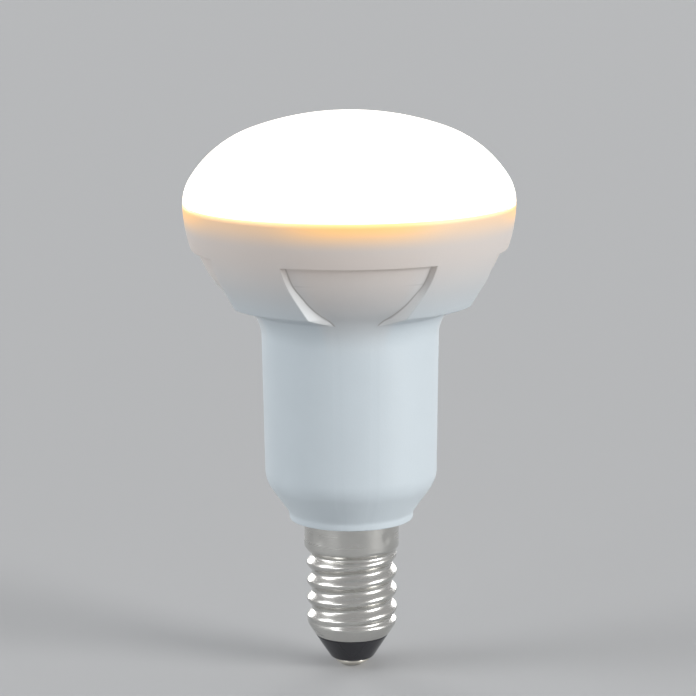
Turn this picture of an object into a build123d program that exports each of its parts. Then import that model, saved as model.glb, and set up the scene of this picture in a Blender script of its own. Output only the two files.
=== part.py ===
from build123d import *
import os
from math import asin, atan, cos, degrees, radians, sin, sqrt, tan

# Reflector lamp of the 50 mm size with an E14 screw cap, dome up.
# Millimetres. The axis is Z and the origin is at the cap's rim, where the housing's collar seats.

# Head of the housing, outside
head_radius = 25.0
housing_height = 48.5
side_arc_radius = 20.0
side_slope = 35.0
head_depth = 15.0
underside_slope = 18.0

# Ribs and the recessed windows between them
rib_count = 4
rib_width = 14.3
window_top = 6.7
window_step = 0.75
band_height = 2.8
band_draft = 1.35
floor_arc_radius = 16.0
floor_depth = 16.5

# Neck, shoulder and collar, outside
neck_top_radius = 13.46
neck_bottom_radius = 13.06
neck_flare_radius = 6.0
shoulder_radius = 5.0
cone_top = 6.1
collar_radius = 9.45
collar_height = 1.1

# Housing, inside
wall = 1.6
bottom_thickness = 2.0
rim_wall = 1.5
cup_bore_step = 1.2
cup_seat_depth = 5.7
spigot_wall = 1.0
spigot_length = 10.0
cavity_flare_rise = 1.3

# Diffuser dome: three tangent arcs outside, whose joins are given as slopes from level
dome_height = 13.7
dome_side_radius = 17.7
dome_crown_slope = 20.0
dome_side_slope = 58.0
dome_wall = 1.3
dome_skirt_depth = 2.6
dome_skirt_wall = 1.2
snap_bead_drop = 1.5
snap_bead_height = 0.25
snap_bead_width = 0.9

# Heat sink cup and light engine
cup_thickness = 1.2
cup_skirt_wall = 1.0
cup_lead_hole_radius = 4.0
led_board_margin = 2.3
led_board_thickness = 1.2
chip_length = 3.5
chip_width = 2.8
chip_height = 0.7
chip_ring_margin = 4.5
outer_chip_count = 14
inner_chip_ring = 7.0
inner_chip_count = 6
screw_ring_step = 4.5
screw_count = 2
screw_radius = 1.25
screw_head_radius = 2.3
screw_head_height = 1.1
screw_length = 4.5

# Driver
driver_board_thickness = 1.2
driver_top_gap = 6.2
driver_board_inset = 0.4
rail_depth = 1.5
rail_width = 3.8
rail_height = 16.0
rail_lift = 2.0
rail_stop = 1.0
output_pin_radius = 0.4
output_pin_spacing = 3.6
output_pin_stand = 0.8

# Parts on the driver board, with their heights above its lower edge
input_capacitor_radius = 3.2
input_capacitor_length = 11.0
output_capacitor_radius = 4.0
output_capacitor_length = 12.0
capacitor_lift = 14.0
capacitor_gap = 1.0
capacitor_edge = 0.35
capacitor_lead_width = 0.6
capacitor_lead_run = 0.9
choke_lift = 6.0
choke_width = 10.0
choke_height = 9.0
choke_core_depth = 5.0
choke_post = 3.2
choke_leg = 1.3
choke_winding_depth = 8.0
choke_winding_rounding = 1.0
rectifier_lift = 6.5
rectifier_width = 4.7
rectifier_leg_pairs = 2
controller_lift = 16.0
controller_width = 4.9
controller_leg_pairs = 4
surface_chip_depth = 1.6
surface_chip_length = 3.9
surface_chip_standoff = 0.1
chip_leg_depth = 0.4
chip_leg_reach = 1.0
resistor_radius = 1.6
resistor_length = 8.0
resistor_drop = 1.0
resistor_lead_radius = 0.35
neutral_lead_radius = 0.4
neutral_lead_offset = 3.3

# Screw cap
cap_rim_radius = 7.25
cap_radius = 6.925
cap_wall = 0.35
thread_depth = 0.8
thread_groove_width = 1.64
thread_root_width = 0.5
thread_pitch = 2.822
cap_plain_length = 4.6
cap_thread_length = 11.8
cap_taper_length = 2.0
cap_mouth_radius = 5.3
insulator_tip_radius = 3.2
insulator_height = 3.8
insulator_flange = 0.35
contact_radius = 2.6
contact_height = 1.3
contact_rim = 0.4
contact_stem_radius = 0.9

# Clearances
skirt_play = 0.1
cup_play = 0.12
slot_play = 0.15
hole_play = 0.1
tapped_play = 0.02
spigot_play = 0.08
cap_play = 0.05

# Heights and radii that follow from the sizes above
seam_z = housing_height
ledge_z = seam_z - window_top
band_bottom_z = ledge_z - band_height
floor_foot_z = seam_z - floor_depth
corner_z = seam_z - head_depth
side_arc_centre = head_radius - side_arc_radius
ledge_radius = side_arc_centre + sqrt(side_arc_radius**2 - window_top**2)
side_end_radius = side_arc_centre + side_arc_radius * cos(radians(side_slope))
side_end_z = seam_z - side_arc_radius * sin(radians(side_slope))
corner_radius = side_end_radius - (side_end_z - corner_z) * tan(radians(side_slope))
floor_top_radius = ledge_radius - window_step
floor_band_radius = floor_top_radius - band_draft
rim_bore = head_radius - rim_wall
cup_bore = rim_bore - cup_bore_step
cup_seat_z = seam_z - cup_seat_depth
cup_top_z = cup_seat_z + cup_thickness
led_board_radius = cup_bore - led_board_margin
outer_chip_ring = led_board_radius - chip_ring_margin
screw_ring = outer_chip_ring - screw_ring_step
led_board_top_z = cup_top_z + led_board_thickness
cavity_top_radius = floor_top_radius - wall
cavity_band_radius = floor_band_radius - wall
cavity_neck_top = neck_top_radius - wall
cavity_neck_bottom = neck_bottom_radius - wall
cone_slope = (neck_bottom_radius - collar_radius) / (cone_top - collar_height)
cavity_cone_z = cone_top + wall * tan(atan(cone_slope) / 2)
cavity_floor_radius = cavity_neck_bottom - cone_slope * (cavity_cone_z - bottom_thickness)
cap_rim_bore_z = cap_wall - cap_plain_length
cap_thread_bore = cap_radius - thread_depth - cap_wall
spigot_upper_radius = cap_rim_radius - cap_wall - spigot_play
spigot_lower_radius = cap_thread_bore - spigot_play
spigot_bore = spigot_lower_radius - spigot_wall
cap_thread_end_z = -cap_plain_length - cap_thread_length
cap_bottom_z = cap_thread_end_z - cap_taper_length
insulator_top_z = cap_bottom_z + cap_taper_length / 2
insulator_bottom_z = cap_bottom_z - insulator_height
rail_bottom_z = cavity_cone_z + rail_lift
rail_top_z = rail_bottom_z + rail_height
driver_bottom_z = rail_bottom_z + rail_stop
driver_top_z = cup_seat_z - driver_top_gap
driver_half_width = cavity_neck_bottom - driver_board_inset
driver_face = driver_board_thickness / 2
snap_bead_z = seam_z - snap_bead_drop


def turned(*edges):
    """Turns a closed outline of (radius, height) edges about the lamp's axis."""
    return revolve(Plane.XZ * make_face(list(edges)), Axis.Z)


def turned_polygon(*points):
    """Turns a closed polygon of (radius, height) points about the lamp's axis."""
    return turned(Polyline(*points, close=True))


def rounded(face, corners):
    """Rounds an outline's corners, given as pairs of a (radius, height) corner and a rounding radius."""
    for corner, radius in corners:
        vertex = face.vertices().sort_by_distance(Vector(*corner))[0]
        face = fillet(vertex, radius)
    return face


def block(x_range, y_range, z_range):
    """A box between two places on each axis."""
    spans = (x_range, y_range, z_range)
    sizes = [high - low for low, high in spans]
    middle = [(high + low) / 2 for low, high in spans]
    return Pos(*middle) * Box(*sizes)


def post(radius, z_low, z_high, x=0.0, y=0.0):
    """An upright cylinder between two heights."""
    return Pos(x, y, (z_low + z_high) / 2) * Cylinder(radius, z_high - z_low)


def on_ring(radius, count, start=0.0):
    """Places evenly spaced round the axis, each turned to face outwards."""
    step = 360 / count
    return [Rot(0, 0, start + step * k) * Pos(radius, 0, 0) for k in range(count)]


def core_outline():
    """Half section of the housing where the windows are, as one outline down to the spigot."""
    band_foot = (floor_band_radius, band_bottom_z)
    foot = (neck_top_radius, floor_foot_z)
    shoulder = (neck_bottom_radius, cone_top)
    ledge_angle = degrees(atan(window_top / (ledge_radius - side_arc_centre)))
    face = make_face(
        [
            Line((0, seam_z), (head_radius, seam_z)),
            CenterArc((side_arc_centre, seam_z), side_arc_radius, 0, -ledge_angle),
            Polyline((ledge_radius, ledge_z), (floor_top_radius, ledge_z), band_foot),
            RadiusArc(band_foot, foot, floor_arc_radius),
            Polyline(
                foot,
                shoulder,
                (collar_radius, collar_height),
                (collar_radius, 0),
                (spigot_upper_radius, 0),
                (spigot_upper_radius, cap_rim_bore_z),
                (spigot_lower_radius, cap_rim_bore_z),
                (spigot_lower_radius, -spigot_length),
                (0, -spigot_length),
                (0, seam_z),
            ),
        ]
    )
    return rounded(face, [(foot, neck_flare_radius), (shoulder, shoulder_radius)])


def rib_outline():
    """Half section of a rib: the head's side, round and then straight, and the sloping underside."""
    underside_z = corner_z - corner_radius * tan(radians(underside_slope))
    return make_face(
        [
            Line((0, seam_z), (head_radius, seam_z)),
            CenterArc((side_arc_centre, seam_z), side_arc_radius, 0, -side_slope),
            Polyline(
                (side_end_radius, side_end_z),
                (corner_radius, corner_z),
                (0, underside_z),
                (0, seam_z),
            ),
        ]
    )


def window_cutter(core, rib):
    """What is cut away between the ribs: everything outside the core, from the ledge to the ribs' foot."""
    proud = rib - core
    foot_z = proud.bounding_box().min.Y
    reach = head_radius + wall
    zone = Pos(reach / 2, (ledge_z + foot_z) / 2) * Rectangle(reach, ledge_z - foot_z)
    cutter = revolve(Plane.XZ * (zone - core), Axis.Z)
    slab = Box(rib_width, 2 * reach, 2 * housing_height)
    for k in range(rib_count // 2):
        cutter -= Pos(0, 0, ledge_z) * Rot(0, 0, 360 / rib_count * (k + 0.5)) * slab
    return cutter


def housing():
    """The moulded housing: ribbed head, neck, cone, collar and the spigot that the cap is crimped to."""
    core = core_outline()
    rib = rib_outline()
    body = revolve(Plane.XZ * (core + rib), Axis.Z) - window_cutter(core, rib)
    rebate_z = seam_z - dome_skirt_depth - skirt_play
    groove = snap_bead_height + skirt_play
    body -= turned_polygon(
        (0, seam_z + wall),
        (rim_bore, seam_z + wall),
        (rim_bore, snap_bead_z + snap_bead_width / 2),
        (rim_bore + groove, snap_bead_z),
        (rim_bore, snap_bead_z - snap_bead_width / 2),
        (rim_bore, rebate_z),
        (cup_bore, rebate_z),
        (cup_bore, cup_seat_z),
        (cavity_top_radius, cup_seat_z),
        (cavity_top_radius, ledge_z),
        (cavity_band_radius, band_bottom_z),
        (cavity_neck_top, floor_foot_z + cavity_flare_rise),
        (cavity_neck_bottom, cavity_cone_z),
        (cavity_floor_radius, bottom_thickness),
        (spigot_bore, bottom_thickness),
        (spigot_bore, -spigot_length - wall),
        (0, -spigot_length - wall),
    )
    return body + guide_rails()


def guide_rails():
    """Two slotted rails inside the neck, which hold the driver board by its long edges."""
    inner = cavity_neck_bottom - rail_depth
    outer = cavity_neck_bottom + wall / 2
    slot = driver_face + slot_play
    rails = []
    for side in (1, -1):
        spans = sorted((side * inner, side * outer))
        rails.append(block(spans, (-rail_width / 2, rail_width / 2), (rail_bottom_z, rail_top_z)))
    reach = driver_half_width + slot_play
    board_space = block((-reach, reach), (-slot, slot), (driver_bottom_z, rail_top_z + wall))
    return [rail - board_space for rail in rails]


def dome_arcs(rim_radius, height, side_radius):
    """A dome's half section, from its rim on the seam up to the axis, as edge, side and crown arcs.

    The rim stands upright. The edge and crown radii are what makes the arcs meet and reach the height.
    """
    crown_sin, crown_cos = sin(radians(dome_crown_slope)), cos(radians(dome_crown_slope))
    side_sin, side_cos = sin(radians(dome_side_slope)), cos(radians(dome_side_slope))
    radius_left = rim_radius - side_radius * (side_sin - crown_sin)
    height_left = height - side_radius * (crown_cos - side_cos)
    edge_share, crown_share = 1 - side_sin, 1 - crown_cos
    scale = crown_sin * side_cos - edge_share * crown_share
    crown_radius = (radius_left * side_cos - height_left * edge_share) / scale
    edge_radius = (height_left * crown_sin - radius_left * crown_share) / scale
    crown_z = seam_z + height - crown_radius
    side_shift = crown_radius - side_radius
    side_centre = (side_shift * crown_sin, crown_z + side_shift * crown_cos)
    return [
        CenterArc((rim_radius - edge_radius, seam_z), edge_radius, 0, 90 - dome_side_slope),
        CenterArc(side_centre, side_radius, 90 - dome_side_slope, dome_side_slope - dome_crown_slope),
        CenterArc((0, crown_z), crown_radius, 90 - dome_crown_slope, dome_crown_slope),
    ]


def diffuser_dome():
    """The opal dome, with a skirt and snap bead that go inside the housing's rim."""
    skirt_radius = rim_bore - skirt_play
    skirt_bore = skirt_radius - dome_skirt_wall
    skirt_z = seam_z - dome_skirt_depth
    inner_height = dome_height - dome_wall
    half_bead = snap_bead_width / 2
    return turned(
        *dome_arcs(head_radius, dome_height, dome_side_radius),
        Line((0, seam_z + dome_height), (0, seam_z + inner_height)),
        *dome_arcs(skirt_bore, inner_height, dome_side_radius - dome_wall),
        Polyline(
            (skirt_bore, seam_z),
            (skirt_bore, skirt_z),
            (skirt_radius, skirt_z),
            (skirt_radius, snap_bead_z - half_bead),
            (skirt_radius + snap_bead_height, snap_bead_z),
            (skirt_radius, snap_bead_z + half_bead),
            (skirt_radius, seam_z),
            (head_radius, seam_z),
        ),
    )


def heat_sink_cup():
    """The spun aluminium cup that carries the light board and spreads its heat into the head's wall."""
    skirt_top = cavity_top_radius - cup_play
    skirt_foot = cavity_band_radius - cup_play
    cup = turned_polygon(
        (0, cup_top_z),
        (cup_bore - cup_play, cup_top_z),
        (cup_bore - cup_play, cup_seat_z),
        (skirt_top, cup_seat_z),
        (skirt_top, ledge_z),
        (skirt_foot, band_bottom_z),
        (skirt_foot - cup_skirt_wall, band_bottom_z),
        (skirt_top - cup_skirt_wall, ledge_z),
        (skirt_top - cup_skirt_wall, cup_seat_z),
        (0, cup_seat_z),
    )
    cup -= post(cup_lead_hole_radius, cup_seat_z - wall, cup_top_z + wall)
    for place in on_ring(screw_ring, screw_count):
        cup -= place * post(screw_radius + tapped_play, cup_seat_z - wall, cup_top_z + wall)
    return cup


def led_board():
    """The round aluminium-core board, with clearance holes for its screws and the driver's two pins."""
    board = post(led_board_radius, cup_top_z, led_board_top_z)
    for place in on_ring(screw_ring, screw_count):
        board -= place * post(screw_radius + hole_play, cup_top_z - wall, led_board_top_z + wall)
    for side in (1, -1):
        pin_x = side * output_pin_spacing / 2
        board -= post(output_pin_radius + hole_play, cup_top_z - wall, led_board_top_z + wall, pin_x)
    return board


def led_chips():
    """Two rings of light-emitting chips on the board, as one group of separate packages."""
    seat = led_board_top_z + chip_height / 2
    chip = Pos(0, 0, seat) * Box(chip_width, chip_length, chip_height)
    places = on_ring(outer_chip_ring, outer_chip_count, 180 / outer_chip_count)
    places += on_ring(inner_chip_ring, inner_chip_count, 180 / inner_chip_count)
    return Compound([place * chip for place in places])


def board_screws():
    """The pan-head screws that clamp the light board to the cup, as one group."""
    head = post(screw_head_radius, led_board_top_z, led_board_top_z + screw_head_height)
    screw = head + post(screw_radius, led_board_top_z - screw_length, led_board_top_z)
    return Compound([place * screw for place in on_ring(screw_ring, screw_count)])


def driver_board():
    """The driver's circuit board, upright in the neck on the rails' stops."""
    width = (-driver_half_width, driver_half_width)
    return block(width, (-driver_face, driver_face), (driver_bottom_z, driver_top_z))


def capacitor(radius, length, x):
    """An electrolytic capacitor lying along the board's back, with two flat leads bent down to the board."""
    foot_z = driver_bottom_z + capacitor_lift
    y = driver_face + radius
    can = post(radius, foot_z, foot_z + length, x, y)
    can = chamfer(can.edges().group_by(Axis.Z)[-1], capacitor_edge)
    half = capacitor_lead_width / 2
    for side in (1, -1):
        lead_x = x + side * radius / 2
        width = (lead_x - half, lead_x + half)
        can += block(width, (y - half, y + half), (foot_z - capacitor_lead_run, foot_z))
        can += block(width, (driver_face, y + half), (foot_z - capacitor_lead_run, foot_z - half))
    return can


def choke_core():
    """The ferrite core of the choke: a frame with a middle post."""
    y = driver_face + choke_winding_depth / 2
    z = driver_bottom_z + choke_lift
    core = Pos(0, y, z) * Box(choke_width, choke_core_depth, choke_height)
    inner = choke_post / 2
    outer = choke_width / 2 - choke_leg
    height = choke_height / 2 - choke_leg
    for spans in ((inner, outer), (-outer, -inner)):
        core -= block(spans, (y - choke_core_depth, y + choke_core_depth), (z - height, z + height))
    return core


def choke_winding():
    """The wound bobbin round the choke core's middle post."""
    y = driver_face + choke_winding_depth / 2
    z = driver_bottom_z + choke_lift
    margin = choke_leg + hole_play
    height = choke_height - 2 * margin
    winding = Box(choke_width - 2 * margin, choke_winding_depth, height)
    winding = fillet(winding.edges().filter_by(Axis.Z), choke_winding_rounding)
    winding -= Box(choke_post + 2 * hole_play, choke_core_depth + 2 * hole_play, height)
    return Pos(0, y, z) * winding


def surface_chip(width, lift, leg_pairs):
    """A moulded chip on the board's front face, on legs along its upper and lower edges."""
    z = driver_bottom_z + lift
    y = -driver_face - surface_chip_standoff - surface_chip_depth / 2
    chip = Pos(0, y, z) * Box(width, surface_chip_depth, surface_chip_length)
    pitch = width / leg_pairs
    reach = surface_chip_length / 2 + chip_leg_reach
    leg = Box(pitch / 2, chip_leg_depth, 2 * reach)
    for k in range(leg_pairs):
        chip += Pos((k - (leg_pairs - 1) / 2) * pitch, -driver_face - chip_leg_depth / 2, z) * leg
    return chip


def output_pin(side):
    """One of the two stiff pins from the driver board's upper edge up through the light board."""
    pin_x = side * output_pin_spacing / 2
    return post(output_pin_radius, driver_top_z, led_board_top_z + output_pin_stand, pin_x)


def fusible_resistor():
    """The fusible resistor on the axis, in line between the driver board and the centre contact."""
    body_top = -resistor_drop
    body_foot = body_top - resistor_length
    body = post(resistor_radius, body_foot, body_top)
    return body + post(resistor_lead_radius, insulator_top_z, driver_bottom_z)


def neutral_lead():
    """The wire from the driver board down through the spigot and out to the cap's shell."""
    top = (neutral_lead_offset, 0, driver_bottom_z)
    turn_z = -spigot_length - neutral_lead_radius - hole_play
    route = Polyline(top, (neutral_lead_offset, 0, turn_z), (cap_thread_bore - cap_play, 0, turn_z))
    section = Pos(*top) * Circle(neutral_lead_radius)
    return sweep(section, route, transition=Transition.RIGHT)


def cap_shell():
    """The metal screw shell: a plain rim crimped to the spigot, the thread and a tapered foot."""
    shell = turned_polygon(
        (cap_rim_radius - cap_wall, 0),
        (cap_rim_radius, 0),
        (cap_rim_radius, -cap_plain_length),
        (cap_radius, -cap_plain_length),
        (cap_radius, cap_thread_end_z),
        (cap_mouth_radius + cap_wall, cap_bottom_z),
        (cap_mouth_radius, cap_bottom_z),
        (cap_mouth_radius, insulator_top_z),
        (cap_thread_bore, cap_thread_end_z),
        (cap_thread_bore, -cap_plain_length),
        (cap_rim_radius - cap_wall, cap_rim_bore_z),
    )
    return shell - thread_groove()


def thread_groove():
    """The groove of the thread, wound down the shell from below its plain rim to its tapered foot."""
    root_radius = cap_radius - thread_depth
    crest_half = thread_groove_width / 2
    root_half = thread_root_width / 2
    outside = cap_radius + cap_wall
    flare = crest_half + (crest_half - root_half) * cap_wall / thread_depth
    route = Helix(thread_pitch, cap_thread_length - thread_groove_width, cap_radius)
    section = Plane.XZ * make_face(
        Polyline(
            (root_radius, -root_half),
            (outside, -flare),
            (outside, flare),
            (root_radius, root_half),
            close=True,
        )
    )
    groove = sweep(section, route, is_frenet=True)
    return Pos(0, 0, cap_thread_end_z + crest_half) * groove


def cap_insulator():
    """The black glass insulator in the shell's mouth, with a hole for the contact's stem."""
    body_radius = cap_mouth_radius - cap_play
    hole = contact_stem_radius + cap_play
    return turned_polygon(
        (hole, insulator_top_z),
        (body_radius, insulator_top_z),
        (body_radius, cap_bottom_z),
        (cap_mouth_radius + insulator_flange, cap_bottom_z),
        (insulator_tip_radius, insulator_bottom_z),
        (hole, insulator_bottom_z),
    )


def centre_contact():
    """The centre contact: a domed button under the insulator with a stem up through it."""
    rim_z = insulator_bottom_z - contact_rim
    button = contact_height - contact_rim
    curve_radius = (contact_radius**2 + button**2) / (2 * button)
    tip_z = rim_z - button
    curve_angle = degrees(asin(contact_radius / curve_radius))
    return turned(
        CenterArc((0, tip_z + curve_radius), curve_radius, -90, curve_angle),
        Polyline(
            (contact_radius, rim_z),
            (contact_radius, insulator_bottom_z),
            (contact_stem_radius, insulator_bottom_z),
            (contact_stem_radius, insulator_top_z),
            (0, insulator_top_z),
            (0, tip_z),
        ),
    )


left_x = -(input_capacitor_radius + capacitor_gap)
right_x = output_capacitor_radius + capacitor_gap

pieces = {
    "diffuser_dome": diffuser_dome(),
    "housing": housing(),
    "heat_sink_cup": heat_sink_cup(),
    "led_board": led_board(),
    "led_chips": led_chips(),
    "board_screws": board_screws(),
    "driver_board": driver_board(),
    "bridge_rectifier": surface_chip(rectifier_width, rectifier_lift, rectifier_leg_pairs),
    "driver_controller": surface_chip(controller_width, controller_lift, controller_leg_pairs),
    "input_capacitor": capacitor(input_capacitor_radius, input_capacitor_length, left_x),
    "output_capacitor": capacitor(output_capacitor_radius, output_capacitor_length, right_x),
    "choke_core": choke_core(),
    "choke_winding": choke_winding(),
    "output_pin_positive": output_pin(1),
    "output_pin_negative": output_pin(-1),
    "fusible_resistor": fusible_resistor(),
    "neutral_lead": neutral_lead(),
    "cap_shell": cap_shell(),
    "cap_insulator": cap_insulator(),
    "centre_contact": centre_contact(),
}

os.makedirs("parts", exist_ok=True)
for name, piece in pieces.items():
    export_step(piece, os.path.join("parts", f"{name}.step"))
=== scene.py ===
"""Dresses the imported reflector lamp: new skins for the dome, the housing and the screw cap, finishes for the
pieces inside, and a plain studio with the camera of the photograph."""

import logging
import math
from dataclasses import dataclass
from enum import Enum
from typing import Any, Callable, Iterable, Sequence

import bpy
from mathutils import Matrix, Vector


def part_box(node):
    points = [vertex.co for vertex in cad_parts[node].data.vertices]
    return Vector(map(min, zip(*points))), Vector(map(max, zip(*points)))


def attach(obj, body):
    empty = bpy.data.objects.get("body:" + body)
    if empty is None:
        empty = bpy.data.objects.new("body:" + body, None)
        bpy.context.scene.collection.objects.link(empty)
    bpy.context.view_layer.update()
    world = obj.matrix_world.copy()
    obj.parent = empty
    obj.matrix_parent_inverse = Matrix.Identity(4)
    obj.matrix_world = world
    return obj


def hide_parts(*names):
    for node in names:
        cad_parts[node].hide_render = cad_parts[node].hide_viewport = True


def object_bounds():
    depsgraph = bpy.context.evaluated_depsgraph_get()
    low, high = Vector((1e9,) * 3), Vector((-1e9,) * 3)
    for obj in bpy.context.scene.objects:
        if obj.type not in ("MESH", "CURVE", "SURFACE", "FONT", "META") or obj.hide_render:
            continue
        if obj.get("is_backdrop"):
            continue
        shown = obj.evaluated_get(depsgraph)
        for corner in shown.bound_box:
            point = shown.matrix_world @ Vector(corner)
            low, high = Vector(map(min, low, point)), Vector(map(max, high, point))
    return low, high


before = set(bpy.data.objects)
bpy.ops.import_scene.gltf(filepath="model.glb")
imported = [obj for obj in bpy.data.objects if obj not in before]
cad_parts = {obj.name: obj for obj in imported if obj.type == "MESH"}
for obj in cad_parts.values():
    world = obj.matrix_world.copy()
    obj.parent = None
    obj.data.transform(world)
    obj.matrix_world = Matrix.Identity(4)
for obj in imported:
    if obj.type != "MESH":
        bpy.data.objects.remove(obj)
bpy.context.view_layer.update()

LOG = logging.getLogger("reflector_lamp")
MM = 0.001
BODY = "root"
SMOOTH_ANGLE = math.radians(38)
MERGE_DISTANCE = 1e-6
ROUNDING_STEPS = 4
SETTLING_ROUNDS = 30
CLOUD_DETAIL = 3.0

Piece = bpy.types.Object
Point = tuple[float, float]
Colour = tuple[float, float, float]


# Section geometry, in millimetres as (radius, height)


def spread(low: float, high: float, steps: int) -> list[float]:
    """Gives evenly spaced values from low to high, both included."""
    return [low + (high - low) * k / steps for k in range(steps + 1)]


def arc(centre: Point, radius: float, start: float, end: float, steps: int) -> list[Point]:
    """Gives points on an arc of a section.

    Args:
        centre: The arc's centre.
        radius: The arc's radius.
        start: The first point's angle from the outward direction, in degrees.
        end: The last point's angle.
        steps: How many pieces the arc has.

    Returns:
        The points, both ends included.
    """
    angles = [math.radians(angle) for angle in spread(start, end, steps)]
    return [(centre[0] + radius * math.cos(a), centre[1] + radius * math.sin(a)) for a in angles]


def towards(start: Sequence[float], end: Sequence[float], reach: float) -> Vector:
    """Gives the point that lies a distance from start, in the direction of end."""
    way = Vector(end) - Vector(start)
    return Vector(start) + way.normalized() * reach if way.length else Vector(start)


def rounded(before: Vector, corner: Vector, after: Vector, steps: int) -> list[Vector]:
    """Rounds a corner between two points.

    Args:
        before: Where the rounding starts.
        corner: The sharp corner.
        after: Where the rounding ends.
        steps: How many pieces it has.

    Returns:
        The points of the rounding, both ends included.
    """
    points = []
    for t in spread(0, 1, steps):
        points.append(before * (1 - t) ** 2 + corner * (2 * t * (1 - t)) + after * t**2)
    return points


def rounded_section(
    before: Point, corner: Point, after: Point, reach: float, steps: int = ROUNDING_STEPS
) -> list[Point]:
    """Rounds a corner of a section.

    Args:
        before: A point on the side that leads to the corner.
        corner: The sharp corner.
        after: A point on the side that leads away from it.
        reach: How far from the corner the rounding starts and ends.
        steps: How many pieces it has.

    Returns:
        The points of the rounding, both ends included.
    """
    start = towards(corner, before, reach)
    end = towards(corner, after, reach)
    return [tuple(point) for point in rounded(start, Vector(corner), end, steps)]


def ease(share: float) -> float:
    """Eases a share from 0 to 1, and holds it at those ends."""
    held = min(1.0, max(0.0, share))
    return held * held * (3 - 2 * held)


def soft_least(a: float, b: float, width: float) -> float:
    """Gives the lesser of two values, with the change from one to the other rounded over a width."""
    return (a + b - math.hypot(a - b, width)) / 2


def soft_most(a: float, b: float, width: float) -> float:
    """Gives the greater of two values, with the change from one to the other rounded over a width."""
    return (a + b + math.hypot(a - b, width)) / 2


# Modelling


def close_mesh(piece: Piece) -> None:
    """Merges doubles, turns the faces outwards, leaves edit mode and shades a piece smooth.

    Args:
        piece: The piece, in edit mode.
    """
    bpy.ops.mesh.select_all(action="SELECT")
    bpy.ops.mesh.remove_doubles(threshold=MERGE_DISTANCE)
    bpy.ops.mesh.normals_make_consistent(inside=False)
    bpy.ops.object.mode_set(mode="OBJECT")
    bpy.ops.object.shade_smooth_by_angle(angle=SMOOTH_ANGLE)


def added(name: str) -> Piece:
    """Names what an operator has just added.

    Args:
        name: The name of the object and of its data.

    Returns:
        The object.
    """
    newest = bpy.context.object
    newest.name = name
    newest.data.name = name
    return newest


@dataclass
class Lathe:
    """Turns a piece ring by ring: the selected ring is extruded, resized and moved along a section.

    The piece is in edit mode, and at holds the radius and height of its selected ring in millimetres.
    """

    piece: Piece
    at: Point

    @classmethod
    def start(cls, name: str, at: Point, columns: int) -> "Lathe":
        """Adds the first ring as a circle and goes into edit mode.

        Args:
            name: The piece's name.
            at: The first ring's radius and height, in millimetres.
            columns: How many faces go round the piece.

        Returns:
            A lathe that goes on from that ring.
        """
        radius, height = at
        bpy.ops.object.select_all(action="DESELECT")
        bpy.ops.mesh.primitive_circle_add(vertices=columns, radius=radius * MM, location=(0, 0, height * MM))
        piece = added(name)
        bpy.ops.object.transform_apply(location=True)
        bpy.ops.object.mode_set(mode="EDIT")
        bpy.ops.mesh.select_mode(type="EDGE")
        bpy.ops.mesh.select_all(action="SELECT")
        return cls(piece, at)

    def follow(self, section: Iterable[Point]) -> None:
        """Extrudes the selected ring through each point of a section.

        Args:
            section: The points. Those where the ring already is are left out.
        """
        for radius, height in section:
            if math.hypot(radius - self.at[0], height - self.at[1]) * MM < MERGE_DISTANCE:
                continue
            scale = radius / self.at[0]
            rise = (height - self.at[1]) * MM
            bpy.ops.mesh.extrude_region_move(TRANSFORM_OT_translate={"value": (0, 0, rise)})
            bpy.ops.transform.resize(value=(scale, scale, 1), center_override=(0, 0, height * MM))
            self.at = (radius, height)

    def pole(self) -> None:
        """Closes the selected ring in a point on the axis."""
        bpy.ops.mesh.extrude_region_move()
        bpy.ops.mesh.merge(type="CENTER")

    def open_rings(self, at: Point) -> None:
        """Selects what is still open, to go on from there.

        Args:
            at: The radius and height of the ring to go on from.
        """
        bpy.ops.mesh.select_all(action="DESELECT")
        bpy.ops.mesh.select_non_manifold(
            extend=False, use_wire=False, use_boundary=True, use_multi_face=False,
            use_non_contiguous=False, use_verts=False,
        )
        self.at = at

    def finish(self) -> Piece:
        """Closes the mesh and returns the piece."""
        close_mesh(self.piece)
        return self.piece


def wrapped_grid(name: str, columns: int, rows: int, place: Callable[[int, int], Vector]) -> Piece:
    """Adds a grid and wraps it over a surface, leaving it selected in edit mode.

    Args:
        name: The piece's name.
        columns: How many faces the grid has across.
        rows: How many faces it has down.
        place: Gives a vertex's place in millimetres from its column and row.

    Returns:
        The piece.
    """
    bpy.ops.object.select_all(action="DESELECT")
    bpy.ops.mesh.primitive_grid_add(x_subdivisions=columns, y_subdivisions=rows, size=1)
    piece = added(name)
    for vertex in piece.data.vertices:
        row, column = divmod(vertex.index, columns + 1)
        vertex.co = place(column, row) * MM
    bpy.ops.object.mode_set(mode="EDIT")
    bpy.ops.mesh.select_mode(type="EDGE")
    bpy.ops.mesh.select_all(action="SELECT")
    return piece


# Shader nodes


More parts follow.
